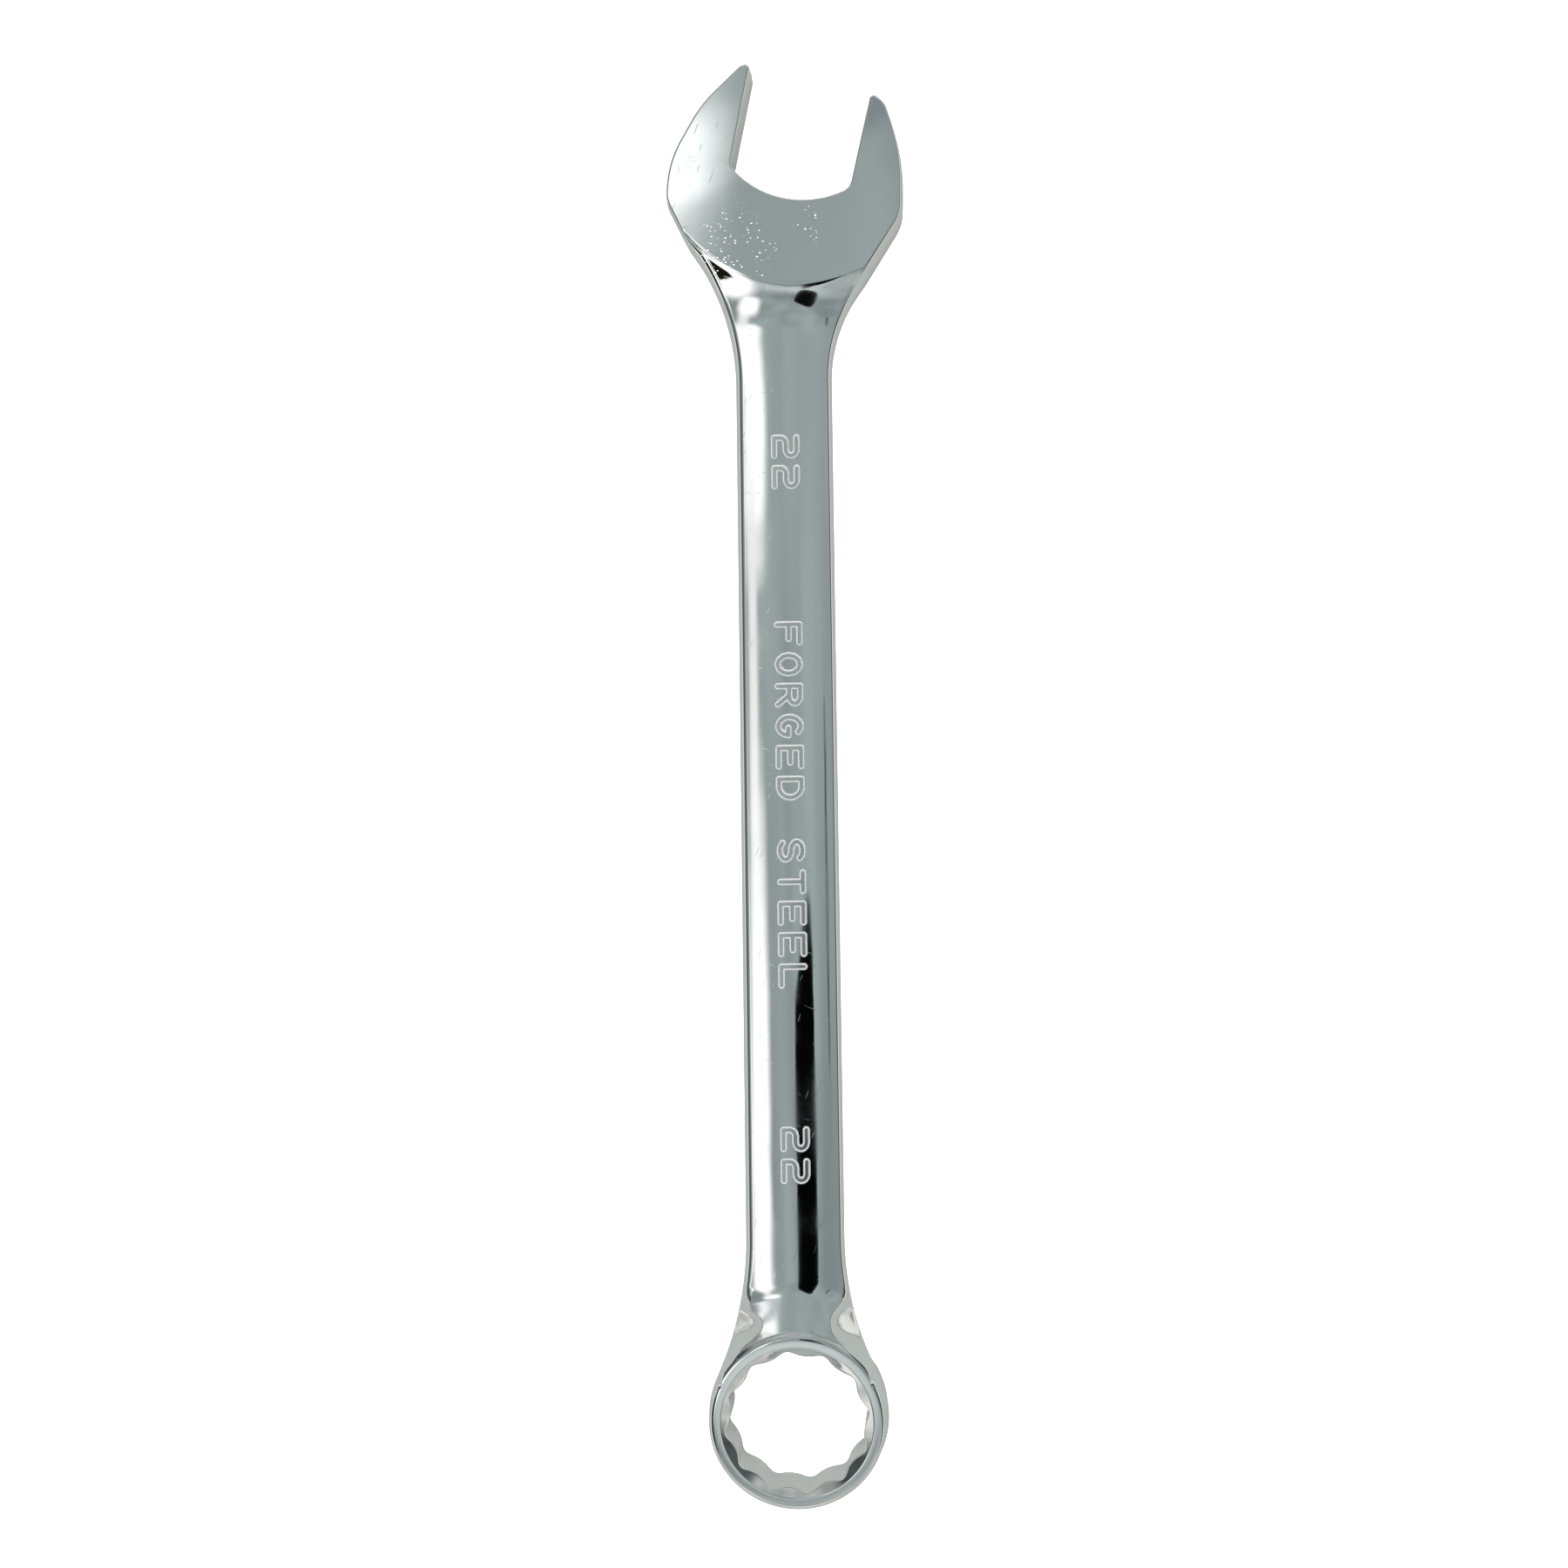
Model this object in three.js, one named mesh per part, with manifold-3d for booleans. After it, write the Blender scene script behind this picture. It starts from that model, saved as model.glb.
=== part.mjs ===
// A double-ended combination wrench for 22 mm hexagons, drop forged in one piece.
// Units are millimetres. While it is being built, the shank lies along X with its
// middle plane on z = 0, the open jaw is at +X and the ring is at -X. At the end the
// wrench is tipped so that it rests on the floor, z = 0, on its jaw and its ring.

import * as THREE from 'three';
import { mergeVertices } from 'three/addons/utils/BufferGeometryUtils.js';
import Module from 'manifold-3d';

const wasm = await Module();
wasm.setup();

const radians = THREE.MathUtils.degToRad;

// ---- driving dimensions ---------------------------------------------------

const JAW_OPENING = 22.3;               // across the two jaw flats
const JAW_ANGLE = radians(12.3);        // the jaw is turned towards -Y from the shank
const JAW_CROSSING = 103.4;             // x where the jaw's centre line crosses the shank's
const THROAT_RADIUS = 17;               // the round bottom of the jaw
const THROAT_SPREAD = radians(33);      // half the angle that the round bottom covers
const THROAT_DEPTH = 4.5;               // from that crossing to the throat's deepest point
const THROAT_CORNER = 2.5;              // fillet between the throat and each flat
const LEFT_JAW_END = 28.4;              // how far each jaw reaches from the crossing
const RIGHT_JAW_END = 27.2;
const JAW_TIP = 1;                      // rounding of each jaw's tip in the plan

const HEAD_THICKNESS = 10;
const HEAD_EDGE = 0.8;                  // rounding of the head's upper and lower edges
const STEP_RADIUS = 27.8;               // the thick head ends in this arc towards the shank
const STEP_CENTRE = [119.4, -3.5];
const STEP_LEAN = 4;                    // the step slopes out by this down to the middle plane

const SHANK_WIDTH = 17.5;
const SHANK_THICKNESS = 7.6;
const SHANK_EDGE = 1.6;
const SHANK_END = 101;                  // the shank's solid ends here, inside the head
const NECK_SLOPE = 0.625;               // the head's sides run into the shank at this slope
const LEFT_NECK_FILLET = 44;
const RIGHT_NECK_FILLET = 30;
const NECK_INSET = 0.96;                // keeps the shank's flare just inside the head's sides

const BEND_ANGLE = radians(12.75);      // the ring is cranked down by this
const BEND_START = -88;                 // x where the shank starts to bend
const BEND_RADIUS = 38;
const RING_FROM_BEND = 15;              // straight length from the bend to the ring's middle

const RING_RADIUS = 16;
const RING_HEIGHT = 12.5;
const RING_EDGE = 1.2;                  // rounding of the ring's outer edges
const RING_DRAFT = 0.4;                 // the wall leans in by this towards each face
const FLARE_ANGLE = radians(23.5);      // the shank widens to the ring at this angle
const FLARE_FILLET = 56;
const FLARE_INSET = 0.4;                // the flare's sides end this far inside the ring
const FLARE_RISE = [1, 12];             // the shank thickens between these past the bend
const FLARE_HEIGHT = 11;
const FLARE_LEAN = 2.6;                 // its sides lean in by this where it meets the ring

const BORE_RADIUS = 12.2;               // mean radius of the twelve-point socket
const BORE_LOBE = 0.47;                 // half the depth of its corners
const BORE_CORNERS = 12;
const BORE_TURN = radians(7.5);         // angle of a corner from the shank
const MOUTH_RADIUS = 13.5;              // the cone that leads into the socket on both faces
const MOUTH_DEPTH = 1.5;

// ---- drawing helpers -------------------------------------------------------

// A closed polygon of [x, y, radius] corners, each rounded by a tangent arc.
function roundedOutline(corners, arcStep) {
  const points = [];
  corners.forEach(([x, y, radius], index) => {
    const corner = new THREE.Vector2(x, y);
    const before = corners[(index + corners.length - 1) % corners.length];
    const after = corners[(index + 1) % corners.length];
    const back = new THREE.Vector2(before[0], before[1]).sub(corner).normalize();
    const ahead = new THREE.Vector2(after[0], after[1]).sub(corner).normalize();
    const turn = Math.PI - Math.acos(THREE.MathUtils.clamp(back.dot(ahead), -1, 1));
    const reach = radius * Math.tan(turn / 2);
    const middle = back.clone().add(ahead).normalize();
    const centre = corner.clone().addScaledVector(middle, Math.hypot(reach, radius));
    const start = corner.clone().addScaledVector(back, reach).sub(centre).angle();
    const side = Math.sign(back.cross(ahead));
    const count = radius > 0 ? Math.ceil(turn / arcStep) : 0;
    for (let step = 0; step <= count; step += 1) {
      const angle = start - side * turn * (step / Math.max(count, 1));
      points.push(new THREE.Vector2(
        centre.x + radius * Math.cos(angle),
        centre.y + radius * Math.sin(angle),
      ));
    }
  });
  return points;
}

// A slab with rounded edges, centred on z = 0.
function slab(outline, thickness, edge, edgeSteps) {
  const geometry = new THREE.ExtrudeGeometry(new THREE.Shape(outline), {
    depth: thickness - 2 * edge,
    bevelEnabled: true,
    bevelThickness: edge,
    bevelSize: edge,
    bevelOffset: -edge,
    bevelSegments: edgeSteps,
    steps: 1,
  });
  return geometry.translate(0, 0, edge - thickness / 2);
}

// A closed skin over rings of points, each ring with the same number of points.
function loft(rings) {
  const ringSize = rings[0].length;
  const positions = rings.flat().flatMap((point) => point.toArray());
  const faces = [];
  for (let ring = 0; ring + 1 < rings.length; ring += 1) {
    for (let index = 0; index < ringSize; index += 1) {
      const a = ring * ringSize + index;
      const b = ring * ringSize + (index + 1) % ringSize;
      faces.push(a, b + ringSize, b, a, a + ringSize, b + ringSize);
    }
  }
  const last = (rings.length - 1) * ringSize;
  for (let index = 1; index + 1 < ringSize; index += 1) {
    faces.push(0, index, index + 1);
    faces.push(last, last + index + 1, last + index);
  }
  const geometry = new THREE.BufferGeometry();
  geometry.setAttribute('position', new THREE.Float32BufferAttribute(positions, 3));
  geometry.setIndex(faces);
  return geometry;
}

function toSolid(geometry) {
  const bare = geometry.clone();
  bare.deleteAttribute('normal');
  bare.deleteAttribute('uv');
  const welded = mergeVertices(bare, 1e-4);
  const corners = Array.from(welded.index.array);
  const faces = [];
  for (let first = 0; first < corners.length; first += 3) {
    const [a, b, c] = corners.slice(first, first + 3);
    if (a !== b && b !== c && c !== a) {
      faces.push(a, b, c);
    }
  }
  return new wasm.Manifold(new wasm.Mesh({
    numProp: 3,
    vertProperties: new Float32Array(welded.attributes.position.array),
    triVerts: new Uint32Array(faces),
  }));
}

function toGeometry(solid) {
  const mesh = solid.getMesh();
  const geometry = new THREE.BufferGeometry();
  geometry.setAttribute('position', new THREE.BufferAttribute(mesh.vertProperties, 3));
  geometry.setIndex(new THREE.BufferAttribute(mesh.triVerts, 1));
  geometry.computeVertexNormals();
  return geometry;
}

// ---- open end ----------------------------------------------------------------

// A point given along the jaw's centre line from the crossing, and across it.
function jawPoint(along, across) {
  const x = JAW_CROSSING + along * Math.cos(JAW_ANGLE) + across * Math.sin(JAW_ANGLE);
  const y = across * Math.cos(JAW_ANGLE) - along * Math.sin(JAW_ANGLE);
  return [x, y];
}

// Corners of the head's plan, as [x, y, rounding]: the two flats and the round throat
// between the jaws' tips, and then the outer side of each jaw.
const throatTip = THROAT_DEPTH + THROAT_RADIUS * (1 - 1 / Math.cos(THROAT_SPREAD));
const flatStart = throatTip + (JAW_OPENING / 2) * Math.tan(THROAT_SPREAD);
const jawInside = [
  [...jawPoint(LEFT_JAW_END, JAW_OPENING / 2), JAW_TIP],
  [...jawPoint(flatStart, JAW_OPENING / 2), THROAT_CORNER],
  [...jawPoint(throatTip, 0), THROAT_RADIUS],
  [...jawPoint(flatStart, -JAW_OPENING / 2), THROAT_CORNER],
  [...jawPoint(RIGHT_JAW_END, -JAW_OPENING / 2), JAW_TIP],
];
const rightLobe = [
  [125.55, -19.45, 4],
  [116.3, -22.4, 40],
  [104.4, -22.2, 8],
];
const leftLobe = [
  [101, 17.7, 20],
  [108.15, 21.1, 6],
  [115.3, 20.8, 20],
  [126.15, 14.5, 25],
  [133.3, 7, 2],
];

// Where a side of the head, carried on at its slope, would reach the shank's side.
function neckStart(lobeCorner) {
  return lobeCorner[0] - (Math.abs(lobeCorner[1]) - SHANK_WIDTH / 2) / NECK_SLOPE;
}

const leftNeckStart = neckStart(leftLobe[0]);
const rightNeckStart = neckStart(rightLobe[2]);

// The thick head around the jaw, cut off towards the shank by a round sloping step.
function head() {
  const outline = roundedOutline([
    ...jawInside,
    ...rightLobe,
    [rightNeckStart, -SHANK_WIDTH / 2, 0],
    [leftNeckStart, SHANK_WIDTH / 2, 0],
    ...leftLobe,
  ], 0.14);
  const foot = STEP_RADIUS + STEP_LEAN;
  const top = foot - (STEP_LEAN * HEAD_THICKNESS) / (HEAD_THICKNESS / 2);
  const step = new THREE.LatheGeometry([
    new THREE.Vector2(0, -HEAD_THICKNESS),
    new THREE.Vector2(top, -HEAD_THICKNESS),
    new THREE.Vector2(foot, 0),
    new THREE.Vector2(top, HEAD_THICKNESS),
    new THREE.Vector2(0, HEAD_THICKNESS),
  ], 96);
  step.rotateX(Math.PI / 2);
  step.translate(STEP_CENTRE[0], STEP_CENTRE[1], 0);
  return toSolid(slab(outline, HEAD_THICKNESS, HEAD_EDGE, 3)).intersect(toSolid(step));
}

// ---- shank and neck ------------------------------------------------------------

const bendLength = BEND_RADIUS * BEND_ANGLE;
const ringDistance = bendLength + RING_FROM_BEND;

// A place and direction on the bent centre line, by its distance past the bend's start.
function spine(distance) {
  const angle = THREE.MathUtils.clamp(distance / BEND_RADIUS, 0, BEND_ANGLE);
  const straight = distance - angle * BEND_RADIUS;
  const x = BEND_START - BEND_RADIUS * Math.sin(angle) - straight * Math.cos(angle);
  const z = -BEND_RADIUS * (1 - Math.cos(angle)) - straight * Math.sin(angle);
  return { x, z, angle };
}

// How much a side has widened: nothing before a fillet, and a straight flare after it.
function flare(run, angle, fillet) {
  const reach = fillet * Math.tan(angle / 2);
  if (run <= -reach) {
    return 0;
  }
  if (run < reach * Math.cos(angle)) {
    return fillet - Math.sqrt(fillet ** 2 - (run + reach) ** 2);
  }
  return run * Math.tan(angle);
}

const flareRadius = RING_RADIUS - FLARE_INSET;
const flareEnd = ringDistance - flareRadius * Math.sin(FLARE_ANGLE);
const flareStart = flareEnd
  - (flareRadius * Math.cos(FLARE_ANGLE) - SHANK_WIDTH / 2) / Math.tan(FLARE_ANGLE);

// The outline across the spine: an upright rounded section, flat above and below.
function shankSection(distance) {
  const { x, z, angle } = spine(distance);
  const neckAngle = Math.atan(NECK_SLOPE * NECK_INSET);
  const toRing = flare(distance - flareStart, FLARE_ANGLE, FLARE_FILLET);
  const left = SHANK_WIDTH / 2 + toRing + flare(x - leftNeckStart, neckAngle, LEFT_NECK_FILLET);
  const right = SHANK_WIDTH / 2 + toRing + flare(x - rightNeckStart, neckAngle, RIGHT_NECK_FILLET);
  const rise = THREE.MathUtils.smoothstep(distance, FLARE_RISE[0], FLARE_RISE[1]);
  const halfHeight = THREE.MathUtils.lerp(SHANK_THICKNESS, FLARE_HEIGHT, rise) / 2;
  const lean = THREE.MathUtils.lerp(SHANK_EDGE, FLARE_LEAN, rise);
  const section = [];
  const addQuarter = (sideWidth, heightSign, reversed) => {
    for (let step = 0; step <= 3; step += 1) {
      const swing = ((reversed ? 3 - step : step) / 3) * (Math.PI / 2);
      const across = Math.sign(sideWidth) * (Math.abs(sideWidth) - lean * (1 - Math.cos(swing)));
      const height = heightSign * (halfHeight - SHANK_EDGE * (1 - Math.sin(swing)));
      section.push(new THREE.Vector3(
        x - height * Math.sin(angle),
        across,
        z + height * Math.cos(angle),
      ));
    }
  };
  addQuarter(left, 1, false);
  addQuarter(-right, 1, true);
  addQuarter(-right, -1, false);
  addQuarter(left, -1, true);
  return section;
}

// Distances past the bend's start where the shank's section is drawn: closer together
// where it flares or bends.
function shankStations() {
  const stations = [];
  const addRun = (from, to, count) => {
    for (let step = 0; step < count; step += 1) {
      stations.push(from + ((to - from) * step) / count);
    }
  };
  const headEnd = BEND_START - SHANK_END;
  const neckEnd = BEND_START - 70;
  addRun(headEnd, neckEnd, 14);
  addRun(neckEnd, 0, 4);
  addRun(0, flareEnd, 18);
  stations.push(flareEnd);
  return stations;
}

function shank() {
  return toSolid(loft(shankStations().map(shankSection)));
}

// ---- ring ------------------------------------------------------------------------

function atRing(geometry) {
  const { x, z, angle } = spine(ringDistance);
  return geometry.clone().rotateY(-angle).translate(x, 0, z);
}

// The ring before its hole is cut: a wall a little fatter at its middle.
function ringBlank() {
  const halfHeight = RING_HEIGHT / 2;
  const faceRadius = RING_RADIUS - RING_DRAFT;
  const edge = [];
  for (let step = 0; step <= 4; step += 1) {
    const swing = (step / 4) * (Math.PI / 2);
    edge.push([
      faceRadius - RING_EDGE * (1 - Math.sin(swing)),
      halfHeight - RING_EDGE * (1 - Math.cos(swing)),
    ]);
  }
  const profile = [
    [0, -halfHeight],
    ...edge.map(([radius, height]) => [radius, -height]),
    [RING_RADIUS, 0],
    ...edge.reverse(),
    [0, halfHeight],
  ];
  const points = profile.map(([radius, height]) => new THREE.Vector2(radius, height));
  return new THREE.LatheGeometry(points, 96).rotateX(Math.PI / 2);
}

// The twelve-point hole: a rounded double hexagon, right through the ring.
function socket() {
  const outline = [];
  const count = BORE_CORNERS * 8;
  for (let step = 0; step < count; step += 1) {
    const angle = (step / count) * 2 * Math.PI + BORE_TURN;
    const radius = BORE_RADIUS + BORE_LOBE * Math.cos(BORE_CORNERS * (angle - BORE_TURN));
    outline.push(new THREE.Vector2(radius * Math.cos(angle), radius * Math.sin(angle)));
  }
  const hole = new THREE.ExtrudeGeometry(new THREE.Shape(outline), {
    depth: 2 * RING_HEIGHT,
    bevelEnabled: false,
  });
  return hole.translate(0, 0, -RING_HEIGHT);
}

// The cone that leads into the socket from the upper face.
function mouth() {
  const slope = (MOUTH_RADIUS - BORE_RADIUS + BORE_LOBE) / MOUTH_DEPTH;
  const overrun = 1;
  const cone = new THREE.CylinderGeometry(
    MOUTH_RADIUS + slope * overrun,
    MOUTH_RADIUS - slope * (MOUTH_DEPTH + overrun),
    MOUTH_DEPTH + 2 * overrun,
    96,
  );
  return cone.rotateX(Math.PI / 2).translate(0, 0, (RING_HEIGHT - MOUTH_DEPTH) / 2);
}

// ---- the forging ------------------------------------------------------------------

function forgedWrench() {
  let solid = head().add(shank()).add(toSolid(atRing(ringBlank())));
  [socket(), mouth(), mouth().rotateX(Math.PI)].forEach((tool) => {
    solid = solid.subtract(toSolid(atRing(tool)));
  });
  return toGeometry(solid);
}

const chrome = new THREE.MeshStandardMaterial({
  name: 'chrome_plate',
  color: 0xc4cacb,
  roughness: 0.14,
  metalness: 1,
});

const wrench = new THREE.Mesh(forgedWrench(), chrome);
wrench.name = 'forged_wrench';

// Tip the wrench until both its ends touch the floor, and centre it over the origin.
const group = new THREE.Group();
group.name = 'combination_wrench';
group.add(wrench);

const ringLow = spine(ringDistance + RING_RADIUS - RING_DRAFT - RING_EDGE);
const ringFoot = {
  x: ringLow.x + (RING_HEIGHT / 2) * Math.sin(ringLow.angle),
  z: ringLow.z - (RING_HEIGHT / 2) * Math.cos(ringLow.angle),
};
const jawFoot = { x: leftLobe[4][0] - HEAD_EDGE, z: -HEAD_THICKNESS / 2 };
wrench.rotation.y = Math.atan2(jawFoot.z - ringFoot.z, jawFoot.x - ringFoot.x);
group.updateMatrixWorld(true);
const box = new THREE.Box3().setFromObject(wrench, true);
const middle = box.getCenter(new THREE.Vector3());
wrench.position.set(-middle.x, -middle.y, -box.min.z);

export default group;
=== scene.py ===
"""The finished look of a forged, chrome-plated combination wrench for 22 mm hexagons.

The wrench is drawn lying straight in millimetres, as it would be before its ring is cranked:
a plan outline, the height of its upper face over that plan, and the shape of its edges.
It is then bent at the neck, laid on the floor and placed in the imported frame, in metres.
"""

import math

import bpy
import numpy as np
from mathutils import Matrix, Vector, geometry


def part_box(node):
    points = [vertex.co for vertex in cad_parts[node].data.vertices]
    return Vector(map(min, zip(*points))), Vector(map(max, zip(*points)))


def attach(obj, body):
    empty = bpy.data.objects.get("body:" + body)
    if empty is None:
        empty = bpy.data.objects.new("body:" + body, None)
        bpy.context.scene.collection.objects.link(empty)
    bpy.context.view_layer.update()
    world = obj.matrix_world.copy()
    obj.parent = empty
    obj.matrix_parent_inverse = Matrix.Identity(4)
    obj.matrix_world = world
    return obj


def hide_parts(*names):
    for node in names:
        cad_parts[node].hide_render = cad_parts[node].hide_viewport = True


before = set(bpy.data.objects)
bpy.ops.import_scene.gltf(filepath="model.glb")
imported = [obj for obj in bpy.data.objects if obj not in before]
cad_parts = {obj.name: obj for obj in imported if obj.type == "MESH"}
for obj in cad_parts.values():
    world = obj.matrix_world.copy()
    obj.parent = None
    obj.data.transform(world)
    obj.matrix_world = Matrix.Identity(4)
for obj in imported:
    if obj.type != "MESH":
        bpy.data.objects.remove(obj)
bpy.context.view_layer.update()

# ---- driving dimensions, in millimetres ------------------

JAW_OPENING = 22.3
JAW_ANGLE = math.radians(12.3)
JAW_CROSSING = 103.4  # x where the jaw's centre line crosses the shank's
THROAT_RADIUS = 17.0
THROAT_SPREAD = math.radians(33)
THROAT_DEPTH = 4.5  # the throat's bottom, along the jaw from that crossing
LEFT_JAW_END = 28.35  # the tips, along the jaw as well
RIGHT_JAW_END = 27.15
JAW_TIP = 1.0  # their rounding
THROAT_CORNER = 2.5  # radius where a flat runs into the throat

HEAD_HALF = 5.0  # half the thickness
HEAD_FALL = 6.5e-5  # times the cube of the way from the ridge, the faces' fall
HEAD_RIDGE_Y = -3.0
STEP_CENTRE = (119.4, -3.5)
STEP_RADIUS = 27.8
STEP_RUN = 10.8  # the ramp from the thick head down to the shank
STEP_SOFTNESS = 0.7  # half the width of the round crest above the ramp

SHANK_HALF = 3.8
SHANK_WIDTH = 17.5
SHANK_CROWN = 50.0  # radius of the shank's faces, across it
HEAD_CROWN = 66.0  # the same where the shank meets the head
CROWN_CHANGE = (70, 92)  # between these two x the one goes over into the other
NECK_SLOPE = 0.625  # how steeply the head's sides close in on the shank
RIGHT_NECK_FILLET = 30
LEFT_NECK_FILLET = 44

BEND_ANGLE = math.radians(12.75)
BEND_START = -88.0
BEND_RADIUS = 38.0
RING_FROM_BEND = 15.0  # from the end of the bend to the ring's axis

RING_RADIUS = 15.97
RING_HALF = 6.17
RIDGE_RADIUS = 14.5  # the ring's upper face meets the rising web on this circle
LIP_START = 14.65  # outside this the ring's face rounds down to its wall
LIP_WIDTH = 1.4
LIP_DROP = 1.4
LIP_END = 0.98  # share of the lip's width after which it falls straight
LIP_FALL = 4  # slope of that last part
FLARE_ANGLE = math.radians(23.5)  # the neck's sides widen so steeply towards the ring
FLARE_FILLET = 56.0
WEB_START = -88.5  # from here the sides of the neck are scooped out
WEB_SLOPE = 0.415  # how steeply the web runs down from the ridge at first
WEB_CURVE = 32.0  # radius of the hollow between the ring and the shank
WEB_INSIDE = -3  # the web's slope is carried on so far inside the ridge
CROWN_FADE = (9, 1)  # so far outside the ridge the shank's crown begins and ends to fade

# Half the width of the soft turns where the web ends on the shank, where it reaches the height
# of the ring's face, and where it meets the ring's lip.
WEB_FOOT_TURN = 0.15
WEB_TOP_TURN = 0.1
WEB_LIP_TURN = 0.12
LIP_REACH = 6  # the lip shapes the face only so near to the ridge

BORE_RADIUS = 12.2
BORE_LOBE = 0.47  # the corners lie so far outside that, and the lobes inside
BORE_POINT = 0.06  # sharpens the twelve corners and flattens the lobes between
BORE_CORNERS = 12
BORE_TURN = math.radians(7.5)
MOUTH_RADIUS = 13.4  # the lead-in cone's, at the ring's face
MOUTH_STEEPNESS = 0.68
MOUTH_ROUNDING = 0.25

# How an edge turns from the wall to the face: how far the wall leans in, and its rounding.
EDGES = {
    "jaw": (0.0, 0.35),
    "tip": (0.15, 0.5),
    "rim": (0.2, 0.45),
    "right_shank": (0.2, 0.8),
    "left_shank": (0.2, 1.5),
    "ring": (0.35, 1.1),
}

# The scooped sides of the neck: the height where they start to hollow, how far they lean in up
# to there, and the share of a straight slope in the rest, which is otherwise a quarter turn.
SCOOP_FOOT = 0.4
SCOOP_LEAN = 0.03
SCOOP_STRAIGHT = 0.75
SCOOP_GROWS = (0.02, 0.25)  # shares of the neck's length between which the hollow deepens
SCOOP_FADES = (0.78, 1.0)  # and between which it fades again

OUTLINE_SPACING = 0.7  # between the outline's points
ARC_STEP = 0.2  # radians, the most that one step of an arc turns
RING_STEPS = 120
SAME_PLACE = 1e-6  # points nearer to each other than this are one
METRES = 0.001


# ---- plan outline ----------------------------------------

def jaw_point(along, across):
    """A point given along the jaw's centre line from its crossing with the shank's."""
    x = JAW_CROSSING + along * math.cos(JAW_ANGLE) + across * math.sin(JAW_ANGLE)
    y = across * math.cos(JAW_ANGLE) - along * math.sin(JAW_ANGLE)
    return x, y


def unit(vector):
    """The vector at length 1."""
    return vector / np.linalg.norm(vector)


def rounded_path(corners, spacing, closed):
    """Points along a path of (x, y, radius, edge) corners, each rounded by an arc.

    Returns the points and, for each, its edge's lean and rounding.
    """
    count = len(corners)
    pieces = []
    for index, (x, y, radius, edge) in enumerate(corners):
        corner = np.array([x, y])
        if radius == 0 or (not closed and index in (0, count - 1)):
            pieces.append((corner[None, :], EDGES[edge]))
            continue
        back = unit(np.array(corners[index - 1][:2]) - corner)
        ahead = unit(np.array(corners[(index + 1) % count][:2]) - corner)
        turn = math.pi - math.acos(np.clip(back @ ahead, -1, 1))
        reach = radius * math.tan(turn / 2)
        centre = corner + unit(back + ahead) * math.hypot(reach, radius)
        start = corner + back * reach - centre
        first = math.atan2(start[1], start[0])
        side = np.sign(back[0] * ahead[1] - back[1] * ahead[0])
        steps = max(math.ceil(turn * radius / spacing), math.ceil(turn / ARC_STEP))
        angles = first - side * turn * np.linspace(0, 1, steps + 1)
        arc = centre + radius * np.stack([np.cos(angles), np.sin(angles)], axis=1)
        pieces.append((arc, EDGES[edge]))
    points = []
    edges = []
    for index, (arc, edge) in enumerate(pieces):
        points.extend(arc)
        edges.extend([edge] * len(arc))
        if not closed and index == count - 1:
            break
        following, next_edge = pieces[(index + 1) % count]
        gap = following[0] - arc[-1]
        steps = max(1, round(np.linalg.norm(gap) / spacing))
        for step in range(1, steps):
            share = step / steps
            points.append(arc[-1] + gap * share)
            edges.append(tuple(np.array(edge) * (1 - share) + np.array(next_edge) * share))
    return np.array(points), np.array(edges)


THROAT_TIP = THROAT_DEPTH + THROAT_RADIUS * (1 - 1 / math.cos(THROAT_SPREAD))
FLAT_START = THROAT_TIP + JAW_OPENING / 2 * math.tan(THROAT_SPREAD)

# The corners of the outline, each (x, y, radius, edge), clockwise as seen from above.
JAW_INSIDE = [
    (*jaw_point(LEFT_JAW_END, JAW_OPENING / 2), JAW_TIP, "tip"),
    (*jaw_point(FLAT_START, JAW_OPENING / 2), THROAT_CORNER, "jaw"),
    (*jaw_point(THROAT_TIP, 0), THROAT_RADIUS, "jaw"),
    (*jaw_point(FLAT_START, -JAW_OPENING / 2), THROAT_CORNER, "jaw"),
    (*jaw_point(RIGHT_JAW_END, -JAW_OPENING / 2), JAW_TIP, "tip"),
]
RIGHT_LOBE = [
    (125.55, -19.45, 4, "rim"),
    (116.3, -22.39, 40, "rim"),
    (104.4, -22.19, 8, "rim"),
]
LEFT_LOBE = [
    (101, 17.7, 20, "rim"),
    (108.15, 21.1, 6, "rim"),
    (115.3, 20.8, 20, "rim"),
    (126.15, 14.5, 25, "rim"),
    (133.25, 7, 2, "rim"),
]


def neck_start(lobe_corner):
    """Where a side of the head, carried on at its slope, would reach the shank's side."""
    return lobe_corner[0] - (abs(lobe_corner[1]) - SHANK_WIDTH / 2) / NECK_SLOPE


BEND_LENGTH = BEND_RADIUS * BEND_ANGLE
RING_X = BEND_START - BEND_LENGTH - RING_FROM_BEND
FLARE_END = RING_X + RING_RADIUS * math.sin(FLARE_ANGLE)
FLARE_WIDTH = RING_RADIUS * math.cos(FLARE_ANGLE)
FLARE_START = FLARE_END + (FLARE_WIDTH - SHANK_WIDTH / 2) / math.tan(FLARE_ANGLE)


def ring_corner(angle, radius):
    """A sharp corner of a path, on a circle round the ring's middle."""
    return RING_X + radius * math.cos(angle), radius * math.sin(angle), 0, "ring"


def ring_arc(first, last):
    """Corners along the ring's wall from one angle to another, clockwise from above."""
    return [ring_corner(angle, RING_RADIUS) for angle in np.linspace(first, last, RING_STEPS)]


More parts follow.
